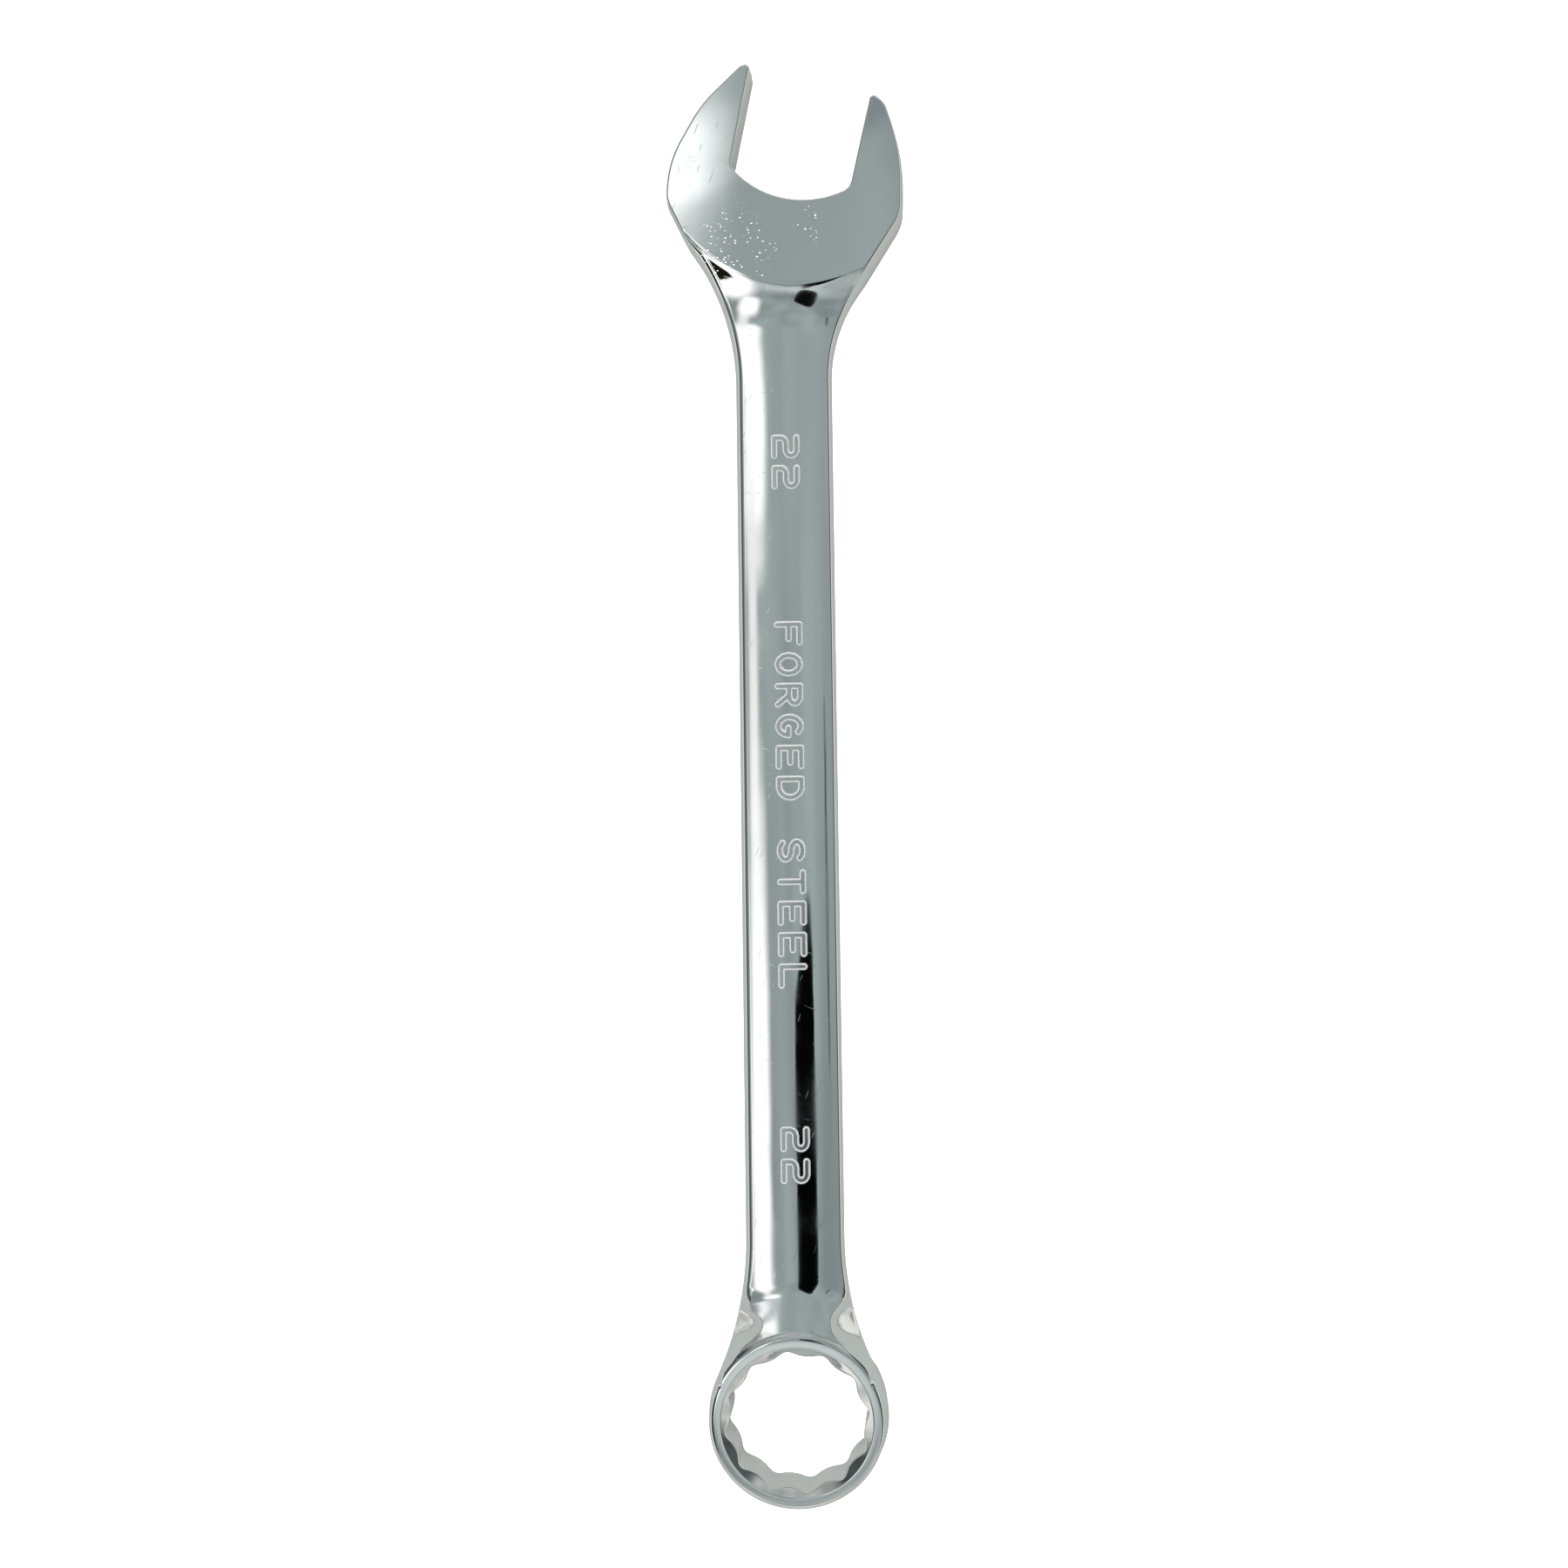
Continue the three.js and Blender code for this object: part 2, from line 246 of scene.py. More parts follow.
RING_TANGENT = math.pi / 2 - FLARE_ANGLE
OUTLINE, OUTLINE_EDGES = rounded_path([
    *JAW_INSIDE,
    *RIGHT_LOBE,
    (neck_start(RIGHT_LOBE[-1]), -SHANK_WIDTH / 2, RIGHT_NECK_FILLET, "right_shank"),
    (FLARE_START, -SHANK_WIDTH / 2, FLARE_FILLET, "right_shank"),
    *ring_arc(-RING_TANGENT, RING_TANGENT - 2 * math.pi),
    (FLARE_START, SHANK_WIDTH / 2, FLARE_FILLET, "left_shank"),
    (neck_start(LEFT_LOBE[0]), SHANK_WIDTH / 2, LEFT_NECK_FILLET, "left_shank"),
    *LEFT_LOBE,
], OUTLINE_SPACING, closed=True)


# ---- height of the upper face ----------------------------

def smooth_step(value, low, high):
    """A smooth change from 0 to 1 while the value goes from low to high."""
    share = np.clip((value - low) / (high - low), 0, 1)
    return share * share * (3 - 2 * share)


def soft_positive(value, softness):
    """The value where it is positive and zero where it isn't, with a round turn between."""
    turning = (value + softness) ** 2 / (4 * softness)
    return np.where(np.abs(value) < softness, turning, np.maximum(value, 0))


def higher(first, second, softness):
    """The higher of two surfaces, with a soft turn where they cross."""
    return second + soft_positive(first - second, softness)


def lip_height(from_centre):
    """The ring's upper face and its rounded outer edge, by the distance from the ring's axis."""
    out = np.clip((from_centre - LIP_START) / LIP_WIDTH, 0, LIP_END)
    beyond = np.maximum(from_centre - LIP_START - LIP_END * LIP_WIDTH, 0)
    return RING_HALF - LIP_DROP * (1 - np.sqrt(1 - out ** 2)) - LIP_FALL * beyond


def outside_step(x, y):
    """How far a point lies outside the arc where the head's face steps down."""
    return np.hypot(x - STEP_CENTRE[0], y - STEP_CENTRE[1]) - STEP_RADIUS


def crown_fall(x, y):
    """How far the shank's face falls away from its middle line."""
    radius = SHANK_CROWN + (HEAD_CROWN - SHANK_CROWN) * smooth_step(x, *CROWN_CHANGE)
    return y ** 2 / (2 * radius)


def head_and_shank(x, y, crown):
    """Height of the shank's face, and of the head's with its curved ramp down to the shank."""
    shank = SHANK_HALF - crown
    head = HEAD_HALF - HEAD_FALL * np.abs(y - HEAD_RIDGE_Y) ** 3
    down = soft_positive(outside_step(x, y), STEP_SOFTNESS) / STEP_RUN
    ramp = (1 - np.clip(down, 0, 1)) ** 3
    return shank + (head - shank) * ramp


def web_rise(past_ridge):
    """How far the web stands above the shank, by the distance outside the ring's ridge."""
    reach = np.clip(past_ridge, WEB_INSIDE, WEB_SLOPE * WEB_CURVE)
    rise = RING_HALF - SHANK_HALF - WEB_SLOPE * reach + reach ** 2 / (2 * WEB_CURVE)
    return soft_positive(rise, WEB_FOOT_TURN)


def face_height(x, y):
    """Height of the upper face over the middle plane, before the marks are stamped."""
    crown = crown_fall(x, y)
    from_ring = np.hypot(x - RING_X, y)
    past_ridge = from_ring - RIDGE_RADIUS
    flatten = smooth_step(-past_ridge, -CROWN_FADE[0], -CROWN_FADE[1])
    web = head_and_shank(x, y, crown) + crown * flatten + web_rise(past_ridge)
    web = RING_HALF - soft_positive(RING_HALF - web, WEB_TOP_TURN)
    near_ring = from_ring < RIDGE_RADIUS + LIP_REACH
    return np.where(near_ring, higher(lip_height(from_ring), web, WEB_LIP_TURN), web)


# ---- marks stamped in the shank --------------------------

MARK_DEPTH = 0.4
MARK_STROKE = 0.58  # half the width of a stroke
MARK_WALL = 0.26  # the width of its sloping side
LETTER_HEIGHT = 5.2
MARK_HEIGHT = LETTER_HEIGHT - 2 * MARK_STROKE  # between the middles of its strokes
MARK_WIDTH = 3.3
MARK_PITCH = 5.6  # from one letter to the next
MARK_MARGIN = 1  # round a mark, where the face is as finely divided as in it
MARK_MARGIN_END = 0.6  # the same past its last letter
MARK_ARC_POINTS = 13


def arc_points(centre_x, centre_y, radius_x, radius_y, first, last):
    """Points on an ellipse's arc, with angles in degrees."""
    angles = np.radians(np.linspace(first, last, MARK_ARC_POINTS))
    return [(centre_x + radius_x * math.cos(a), centre_y + radius_y * math.sin(a)) for a in angles]


# Each character is a list of strokes in a box 1 wide and 1 high. A space has none.
STROKES = {
    "2": [[(0, 1)] + arc_points(0.65, 0.76, 0.35, 0.24, 90, -90)
          + arc_points(0.35, 0.28, 0.35, 0.24, 90, 180) + [(0, 0), (1, 0)]],
    "F": [[(0, 0), (0, 1), (1, 1)], [(0, 0.52), (0.8, 0.52)]],
    "O": [arc_points(0.5, 0.5, 0.5, 0.5, 0, 360)],
    "R": [[(0, 0), (0, 1)] + arc_points(0.5, 0.75, 0.45, 0.25, 90, -90) + [(0, 0.5)],
          [(0.5, 0.5), (1, 0)]],
    "G": [arc_points(0.5, 0.5, 0.5, 0.5, 50, 330) + [(1, 0.45), (0.6, 0.45)]],
    "E": [[(1, 0), (0, 0), (0, 1), (1, 1)], [(0, 0.52), (0.8, 0.52)]],
    "D": [[(0, 0), (0, 1)] + arc_points(0.4, 0.5, 0.6, 0.5, 90, -90) + [(0, 0)]],
    "S": [arc_points(0.5, 0.75, 0.48, 0.25, 30, 270)
          + arc_points(0.5, 0.25, 0.48, 0.25, 90, -150)],
    "T": [[(0.5, 0), (0.5, 1)], [(0, 1), (1, 1)]],
    "L": [[(0, 1), (0, 0), (1, 0)]],
}
# Each mark: the text, the x where it starts, and the y of its letters' feet. It reads
# from the jaw towards the ring, so its letters' tops point to -Y.
MARKS = [("22", 64.2, 2.3), ("FORGED STEEL", 30.0, 2.2), ("22", -60.5, 2.2)]


def mark_strokes():
    """The segments of every stamped character, as an array of (x0, y0, x1, y1)."""
    segments = []
    for text, start, foot in MARKS:
        for index, character in enumerate(text):
            left = start - index * MARK_PITCH - MARK_STROKE
            for stroke in STROKES.get(character, []):
                path = [(left - u * MARK_WIDTH, foot - MARK_STROKE - v * MARK_HEIGHT)
                        for u, v in stroke]
                pairs = zip(path, path[1:])
                segments.extend((*a, *b) for a, b in pairs if math.dist(a, b) > SAME_PLACE)
    return np.array(segments)


SEGMENTS = mark_strokes()


def mark_depth(x, y):
    """How deep the marks are cut at each point."""
    nearest = np.full(np.shape(x), np.inf)
    for x0, y0, x1, y1 in SEGMENTS:
        run_x = x1 - x0
        run_y = y1 - y0
        share = np.clip(((x - x0) * run_x + (y - y0) * run_y) / (run_x ** 2 + run_y ** 2), 0, 1)
        nearest = np.minimum(nearest, np.hypot(x - x0 - share * run_x, y - y0 - share * run_y))
    return MARK_DEPTH * (1 - smooth_step(nearest, MARK_STROKE - MARK_WALL, MARK_STROKE))


# ---- bending and laying down -----------------------------

def bend(points):
    """Carries points round the crank at the neck. Returns them, and how far each is turned."""
    distance = BEND_START - points[:, 0]
    angle = np.clip(distance / BEND_RADIUS, 0, BEND_ANGLE)
    straight = distance - angle * BEND_RADIUS
    x = BEND_START - BEND_RADIUS * np.sin(angle) - straight * np.cos(angle)
    z = -BEND_RADIUS * (1 - np.cos(angle)) - straight * np.sin(angle)
    height = points[:, 2]
    x = x - height * np.sin(angle)
    z = z + height * np.cos(angle)
    return np.stack([x, points[:, 1], z], axis=1), angle


def bend_normals(normals, points, angle):
    """Turns the normals of unbent points with their places, and allows for the stretch."""
    bending = (angle > 0) & (angle < BEND_ANGLE)
    stretch = np.where(bending, 1 + points[:, 2] / BEND_RADIUS, 1.0)
    nx = normals[:, 0] / stretch
    nz = normals[:, 2]
    turned = np.stack([
        nx * np.cos(angle) - nz * np.sin(angle),
        normals[:, 1],
        nx * np.sin(angle) + nz * np.cos(angle),
    ], axis=1)
    return turned / np.linalg.norm(turned, axis=1, keepdims=True)


# ---- edge strip round the outline ------------------------

WALL_ROWS = 4
CURVE_ROWS = 12


def inward_normals(loop):
    """The direction into a closed loop at each of its points."""
    along = np.roll(loop, -1, axis=0) - np.roll(loop, 1, axis=0)
    along /= np.linalg.norm(along, axis=1, keepdims=True)
    return np.stack([along[:, 1], -along[:, 0]], axis=1)


# How the edge of the web's upper face runs from the shank to the ring, on each side:
# (x, y, rounding) corners.
WEB_EDGES = {
    1: [(-91.9, 8.1, 1.0), (-94.1, 4.2, 1.7), (-97.9, 9.2, 2.0)],
    -1: [(-90.7, 8.5, 1.2), (-94.2, 5.0, 2.8), (-98.3, 8.7, 2.0)],
}
WEB_EDGE_SPACING = 0.2
CREASE_RADIUS = 15.6  # the scooped sides meet the ring's wall here
CREASE_START = 0.8  # the angle on the ring, in radians, where the web's edge gets there
CREASE_SETTLE = 0.1  # it keeps that radius so far, and then runs out to the ring's edge
CREASE_STEPS = 24
NECK_LEAD = 0.3  # the neck's first outline point lies so far along it


def web_edge(side):
    """The edge of the web's upper face, from the shank's edge to the ring's, for one side."""
    edge = "left_shank" if side > 0 else "right_shank"
    shank_edge = SHANK_WIDTH / 2 - sum(EDGES[edge])
    angles = np.linspace(CREASE_START, RING_TANGENT, CREASE_STEPS)
    settle = smooth_step(angles, CREASE_START + CREASE_SETTLE, RING_TANGENT)
    radii = CREASE_RADIUS + (RING_RADIUS - sum(EDGES["ring"]) - CREASE_RADIUS) * settle
    corners = [
        (WEB_START, shank_edge, 0, edge),
        *((x, y, rounding, edge) for x, y, rounding in WEB_EDGES[side]),
        *(ring_corner(angle, radius) for angle, radius in zip(angles, radii)),
    ]
    return rounded_path(corners, WEB_EDGE_SPACING, closed=False)[0]


def path_lengths(path):
    """The way along a path to each of its points."""
    steps = np.linalg.norm(np.diff(path, axis=0), axis=1)
    return np.concatenate([[0], np.cumsum(steps)])


def resample(path, shares):
    """Points of a path at shares of its length."""
    length = path_lengths(path)
    length /= length[-1]
    return np.stack([np.interp(shares, length, path[:, axis]) for axis in (0, 1)], axis=1)


def face_edge():
    """For each outline point, the point where its edge meets the face, and how scooped it is."""
    inner = OUTLINE + inward_normals(OUTLINE) * OUTLINE_EDGES.sum(axis=1, keepdims=True)
    scoop = np.zeros(len(OUTLINE))
    for side in (1, -1):
        near = (OUTLINE[:, 1] * side > 0) & (OUTLINE[:, 0] < WEB_START)
        near &= OUTLINE[:, 0] > FLARE_END
        chosen = np.flatnonzero(near)
        chosen = chosen[np.argsort(-OUTLINE[chosen, 0])]
        length = path_lengths(OUTLINE[chosen]) + NECK_LEAD
        shares = length / (length[-1] + NECK_LEAD)
        inner[chosen] = resample(web_edge(side), shares) * (1, side)
        fading = smooth_step(shares, *SCOOP_FADES)
        scoop[chosen] = smooth_step(shares, *SCOOP_GROWS) * (1 - fading)
    return inner, scoop


def edge_rows():
    """The edge strip's points from the middle plane up to the face, as an array of rows."""
    inner, scoop = face_edge()
    height = face_height(inner[:, 0], inner[:, 1])
    lean, rounding = OUTLINE_EDGES.T
    width = lean + rounding
    rows = []
    for row in range(WALL_ROWS + CURVE_ROWS):
        if row < WALL_ROWS:
            climb = row / (WALL_ROWS - 1)
            share = lean * climb / width
            plain_z = (height - rounding) * climb
            hollow_share = SCOOP_LEAN * climb
            hollow_z = SCOOP_FOOT * climb
        else:
            across = (row - WALL_ROWS + 1) / CURVE_ROWS
            turn = across * math.pi / 2
            share = (lean + rounding * (1 - math.cos(turn))) / width
            plain_z = height - rounding * (1 - math.sin(turn))
            straight = SCOOP_STRAIGHT * across
            run = straight + (1 - SCOOP_STRAIGHT) * math.sin(turn)
            rise = straight + (1 - SCOOP_STRAIGHT) * (1 - math.cos(turn))
            hollow_share = SCOOP_LEAN + (1 - SCOOP_LEAN) * run
            hollow_z = SCOOP_FOOT + (height - SCOOP_FOOT) * rise
        share = share + (hollow_share - share) * scoop
        z = plain_z + (hollow_z - plain_z) * scoop
        place = OUTLINE + (inner - OUTLINE) * share[:, None]
        rows.append(np.column_stack([place, z]))
    return np.array(rows)


# ---- socket ----------------------------------------------

SOCKET_STEPS = BORE_CORNERS * 24  # points round it
MOUTH_STEPS = 4
CONE_SHARES = (0.33, 0.66, 0.93)
BORE_SHARES = (0.4, 0.75, 1.0)
# Under the lead-in cone, a tiny rounding: how far out and how far down its middle is, and how
# far down the straight bore starts.
CONE_FOOT_OUT = 0.03
CONE_FOOT_DROP = 0.05
BORE_TOP_DROP = 0.16


def socket_rows():
    """The socket's points from the ring's face down to the middle plane."""
    angles = -np.arange(SOCKET_STEPS) / SOCKET_STEPS * 2 * math.pi
    wave = BORE_CORNERS * (angles - BORE_TURN)
    bore = BORE_RADIUS + BORE_LOBE * np.cos(wave) + BORE_POINT * np.cos(2 * wave)
    cone_angle = math.atan(MOUTH_STEEPNESS)
    stations = []
    for step in range(MOUTH_STEPS + 1):
        turn = cone_angle * step / MOUTH_STEPS
        radius = MOUTH_RADIUS + MOUTH_ROUNDING * (1 - math.sin(turn) / math.sin(cone_angle))
        drop = MOUTH_ROUNDING * (1 - math.cos(turn)) / math.sin(cone_angle)
        stations.append((np.full(SOCKET_STEPS, radius), np.full(SOCKET_STEPS, RING_HALF - drop)))
    cone_radius, cone_top = stations[-1]
    cone_foot = cone_top - (cone_radius - bore) * MOUTH_STEEPNESS
    for share in CONE_SHARES:
        radius = cone_radius + (bore - cone_radius) * share
        stations.append((radius, cone_top + (cone_foot - cone_top) * share))
    stations.append((bore + CONE_FOOT_OUT, cone_foot - CONE_FOOT_DROP))
    stations.append((bore, cone_foot - BORE_TOP_DROP))
    for share in BORE_SHARES:
        stations.append((bore, (cone_foot - BORE_TOP_DROP) * (1 - share)))
    return np.array([
        np.column_stack([RING_X + radius * np.cos(angles), radius * np.sin(angles), height])
        for radius, height in stations
    ])


# ---- the face between them -------------------------------

TRIANGLE_HEIGHT = 0.87  # about the height of a triangle whose three sides are 1
LOOP_CHUNK = 64  # so many points of a loop are compared at a time


def grid(low_x, high_x, low_y, high_y, spacing):
    """Points of a grid whose rows are shifted by half a step from each other."""
    rows = np.arange(low_y, high_y, spacing * TRIANGLE_HEIGHT)
    points = []
    for index, y in enumerate(rows):
        xs = np.arange(low_x + (index % 2) * spacing / 2, high_x, spacing)
        points.append(np.column_stack([xs, np.full(len(xs), y)]))
    return np.concatenate(points)


def polar_grid(centre, radii, first, last, spacing):
    """Points on arcs round a centre."""
    points = []
    for index, radius in enumerate(radii):
        steps = round(radius * (last - first) / spacing)
        angles = first + (np.arange(steps) + (index % 2) / 2) * (last - first) / steps
        arc = np.stack([np.cos(angles), np.sin(angles)], axis=1)
        points.append(np.array(centre) + radius * arc)
    return np.concatenate(points)


def inside(points, loop):
    """Which points lie inside a closed loop, by counting crossings."""
    found = np.zeros(len(points), bool)
    x = points[:, 0]
    y = points[:, 1]
    for (x0, y0), (x1, y1) in zip(loop, np.roll(loop, -1, axis=0)):
        if y0 == y1:
            continue
        crosses = (y0 > y) != (y1 > y)
        found ^= crosses & (x < x0 + (y - y0) * (x1 - x0) / (y1 - y0))
    return found


def clearance(points, loop):
    """Distance from each point to the nearest point of a loop."""
    nearest = np.full(len(points), np.inf)
    for start in range(0, len(loop), LOOP_CHUNK):
        gaps = points[:, None, :] - loop[None, start:start + LOOP_CHUNK, :]
        nearest = np.minimum(nearest, np.linalg.norm(gaps, axis=2).min(axis=1))
    return nearest


# Rings of points along the head's step and outside the ring's ridge, by their distance from
# each, with the angles that they reach over.
STEP_RINGS = np.array([
    -0.9, -0.5, -0.25, -0.08, 0.08, 0.25, 0.5, 0.9, 1.4, 2,
    2.7, 3.5, 4.4, 5.4, 6.4, 7.4, 8.5, 9.6, 10.7,
])
STEP_ARC = (math.radians(110), math.radians(250))
STEP_SPACING = 0.45
RIDGE_RINGS = np.array([
    0.05, 0.25, 0.5, 0.8, 1.2, 1.7, 2.3, 3, 3.8, 4.7, 5.7, 6.8, 8, 9.3, 10.6,
])
RIDGE_ARC = (-1.2, 1.2)
RIDGE_SPACING = 0.4
RINGS_REACH = 11.2  # the coarse grid starts so far outside the step and the ridge
RINGS_INSIDE = 1.5  # and ends so far inside the step

FACE_BOX = (-130, 140, -30, 30)
FACE_SPACING = 1.2
MARK_SPACING = 0.17
OUTER_CLEARANCE = 0.3  # the face's points keep so far from its outer edge
HOLE_CLEARANCE = 0.2  # and so far from the socket


def coarse_points():
    """The grid that covers the face, apart from the step and the ridge."""
    points = grid(*FACE_BOX, FACE_SPACING)
    from_step = outside_step(*points.T)
    from_ridge = np.hypot(points[:, 0] - RING_X, points[:, 1]) - RIDGE_RADIUS
    clear_of_step = (from_step < -RINGS_INSIDE) | (from_step > RINGS_REACH)
    return points[clear_of_step & (from_ridge > RINGS_REACH)]


def mark_box(text, start, foot):
    """The lowest and highest x, and the lowest and highest y, of the fine grid round a mark."""
    end = start - len(text) * MARK_PITCH
    top = foot - LETTER_HEIGHT
    return end - MARK_MARGIN_END, start + MARK_MARGIN, top - MARK_MARGIN, foot + MARK_MARGIN


def fill_points(outer, hole, with_marks):
    """Points for the face: a coarse grid, and finer ones where the face changes quickly."""
    blocks = [
        coarse_points(),
        polar_grid(STEP_CENTRE, STEP_RADIUS + STEP_RINGS, *STEP_ARC, STEP_SPACING),
        polar_grid((RING_X, 0), RIDGE_RADIUS + RIDGE_RINGS, *RIDGE_ARC, RIDGE_SPACING),
    ]
    for mark in MARKS if with_marks else []:
        box = mark_box(*mark)
        for index, block in enumerate(blocks):
            within = (block[:, 0] > box[0]) & (block[:, 0] < box[1])
            within &= (block[:, 1] > box[2]) & (block[:, 1] < box[3])
            blocks[index] = block[~within]
        blocks.append(grid(*box, MARK_SPACING))
    points = np.concatenate(blocks)
    points = points[inside(points, outer)]
    points = points[~inside(points, hole)]
    points = points[clearance(points, outer) > OUTER_CLEARANCE]
    return points[clearance(points, hole) > HOLE_CLEARANCE]


def triangulate(outer, hole, points):
    """Triangles over the face, as indices into outer, then hole, then points."""
    places = np.concatenate([outer, hole, points])
    count = len(outer)
    rim = [(i, (i + 1) % count) for i in range(count)]
    ring = [(count + i, count + (i + 1) % len(hole)) for i in range(len(hole))]
    corners = [Vector(place) for place in places.tolist()]
    only_inside = 1
    result = geometry.delaunay_2d_cdt(corners, rim + ring, [], only_inside, SAME_PLACE, True)
    source = np.array([min(origins) for origins in result[3]])
    triangles = source[np.array(result[2])]
    centres = places[triangles].mean(axis=1)
    kept = inside(centres, outer) & ~inside(centres, hole)
    return triangles[kept].tolist()


# ---- the whole skin --------------------------------------

def grid_normals(rows, middle_row):
    """Normals of a grid whose rows are closed loops, one of them on the middle plane."""
    along = np.roll(rows, -1, axis=1) - np.roll(rows, 1, axis=1)
    up = np.empty_like(rows)
    up[1:-1] = rows[2:] - rows[:-2]
    up[0] = rows[1] - rows[0]
    up[-1] = rows[-1] - rows[-2]
    up[middle_row] = (0, 0, np.sign(up[middle_row][0, 2]))
    normals = np.cross(up, along)
    return normals / np.linalg.norm(normals, axis=2, keepdims=True)


SLOPE_STEP = 0.01  # a face's slope is taken over so far on each side


def face_normals(x, y, height):
    """Normals of a face from its slope."""
    run = 2 * SLOPE_STEP
    slope_x = (height(x + SLOPE_STEP, y) - height(x - SLOPE_STEP, y)) / run
    slope_y = (height(x, y + SLOPE_STEP) - height(x, y - SLOPE_STEP)) / run
    normals = np.column_stack([-slope_x, -slope_y, np.ones(len(x))])
    return normals / np.linalg.norm(normals, axis=1, keepdims=True)


def unbent_half(with_marks):
    """The upper half of the forging, straight.

    Returns the points and the normals of its edge strip, socket and face, and its triangles.
    """
    def height(x, y):
        return face_height(x, y) - (mark_depth(x, y) if with_marks else 0)

    strip = edge_rows()
    socket = socket_rows()
    strip_normals = grid_normals(strip, 0)
    strip_normals[-1] = face_normals(strip[-1][:, 0], strip[-1][:, 1], face_height)
    socket_normals = grid_normals(socket, -1)
    socket_normals[0] = (0, 0, 1)
    points = fill_points(strip[-1][:, :2], socket[0][:, :2], with_marks)
    x, y = points.T
    face = np.column_stack([points, height(x, y)])
    triangles = triangulate(strip[-1][:, :2], socket[0][:, :2], points)
    skin = (strip, socket, face)
    return skin, (strip_normals, socket_normals, face_normals(x, y, height)), triangles


def closed_bands(row_starts, count):
    """Faces between closed rows of vertices."""
    faces = []
    for lower, upper in zip(row_starts, row_starts[1:]):
        for index in range(count):
            after = (index + 1) % count
            faces.append((lower + index, upper + index, upper + after, lower + after))
    return faces


def make_half(sign, first, middle):
    """One half, bent. Its middle rows are shared with the other half, which was made before.

    sign is 1 for the upper half and -1 for the lower, first is the index of its first vertex,
    and middle says where the other half's middle rows start, or is None. Returns its vertices,
    their normals, its faces, its vertices before the bending and where its middle rows start.
    """
    skin, skin_normals, triangles = unbent_half(sign > 0)
    blocks, block_normals = (
        [*strip, *socket, face] if middle is None else [*strip[1:], *socket[:-1], face]
        for strip, socket, face in (skin, skin_normals)
    )
    sizes = [len(block) for block in blocks]
    starts = (first + np.cumsum([0, *sizes[:-1]])).tolist()
    if middle is None:
        strip_rows = WALL_ROWS + CURVE_ROWS
        strip_starts = starts[:strip_rows]
        socket_starts = starts[strip_rows:-1]
    else:
        own_strip_rows = WALL_ROWS + CURVE_ROWS - 1
        strip_starts = [middle[0], *starts[:own_strip_rows]]
        socket_starts = [*starts[own_strip_rows:-1], middle[1]]
    face_start = starts[-1]
    faces = closed_bands(strip_starts, len(OUTLINE)) + closed_bands(socket_starts, SOCKET_STEPS)
    rim_end = len(OUTLINE)
    hole_end = rim_end + SOCKET_STEPS
    for triangle in triangles:
        corners = []
        for corner in triangle:
            if corner < rim_end:
                corners.append(strip_starts[-1] + corner)
            elif corner < hole_end:
                corners.append(socket_starts[0] + corner - rim_end)
            else:
                corners.append(face_start + corner - hole_end)
        faces.append(tuple(corners))
    if sign < 0:
        faces = [corners[::-1] for corners in faces]
    mirror = np.array([1, 1, sign])
    places = np.concatenate(blocks) * mirror
    turned = np.concatenate(block_normals) * mirror
    bent, angle = bend(places)
    normals = bend_normals(turned, places, angle)
    return bent, normals, faces, places, (strip_starts[0], socket_starts[-1])


def resting_place(places):
    """The matrix, in metres, that lays the bent wrench on the floor inside its packed box."""
    foot_radius = RING_RADIUS - sum(EDGES["ring"])
    foot = bend(np.array([[RING_X - foot_radius, 0, -RING_HALF]]))[0]
    jaw_x = LEFT_LOBE[-1][0] - sum(EDGES["rim"])
    pitch = math.atan2(-HEAD_HALF - foot[0, 2], jaw_x - foot[0, 0])
    turn = Matrix.Rotation(pitch, 4, "Y")
    laid = places @ np.array(turn.to_3x3()).T * METRES
    low, high = np.array(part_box("forged_wrench"))
    shift = (low + high) / 2 - (laid.min(axis=0) + laid.max(axis=0)) / 2
    shift[2] = low[2] - laid[:, 2].min()
    return Matrix.Translation(shift) @ turn


def add_object(name, data):
    """A new object in the scene."""
    thing = bpy.data.objects.new(name, data)
    bpy.context.scene.collection.objects.link(thing)
    return thing


def make_wrench():
    """The wrench's object, and the matrix that laid it in its place."""
    top, top_normals, top_faces, top_straight, middle = make_half(1, 0, None)
    bottom, bottom_normals, bottom_faces, bottom_straight, _ = make_half(-1, len(top), middle)
    places = np.concatenate([top, bottom])
    normals = np.concatenate([top_normals, bottom_normals])
    resting = resting_place(places)
    turn = np.array(resting.to_3x3())
    places = places @ turn.T * METRES + np.array(resting.translation)
    normals = normals @ turn.T
    mesh = bpy.data.meshes.new("wrench_body")
    mesh.from_pydata(places.tolist(), [], top_faces + bottom_faces)
    mesh.update()
    mesh.polygons.foreach_set("use_smooth", [True] * len(mesh.polygons))
    mesh.normals_split_custom_set_from_vertices(normals.tolist())
    straight = np.concatenate([top_straight, bottom_straight])
    stamped = mark_depth(straight[:, 0], straight[:, 1]) / MARK_DEPTH * (straight[:, 2] > 0)
    attribute = mesh.attributes.new("stamped", "FLOAT", "POINT")
    attribute.data.foreach_set("value", stamped)
    return add_object("wrench_body", mesh), resting


# ---- material helpers ------------------------------------

def new_material(name):
    """A new material and its Principled shader."""
    material = bpy.data.materials.new(name)
    material.use_nodes = True
    return material, material.node_tree.nodes["Principled BSDF"]


def set_inputs(tree, node, **inputs):
    """Links a node's inputs to other nodes' outputs, or sets them to plain values.

    An input is given by its name, with _ for a space, or as i and its number.
    """
    for name, value in inputs.items():
        numbered = name[1:].isdigit()
        socket = node.inputs[int(name[1:]) if numbered else name.replace("_", " ")]
        if isinstance(value, bpy.types.NodeSocket):
            tree.links.new(value, socket)
        else:
            socket.default_value = value


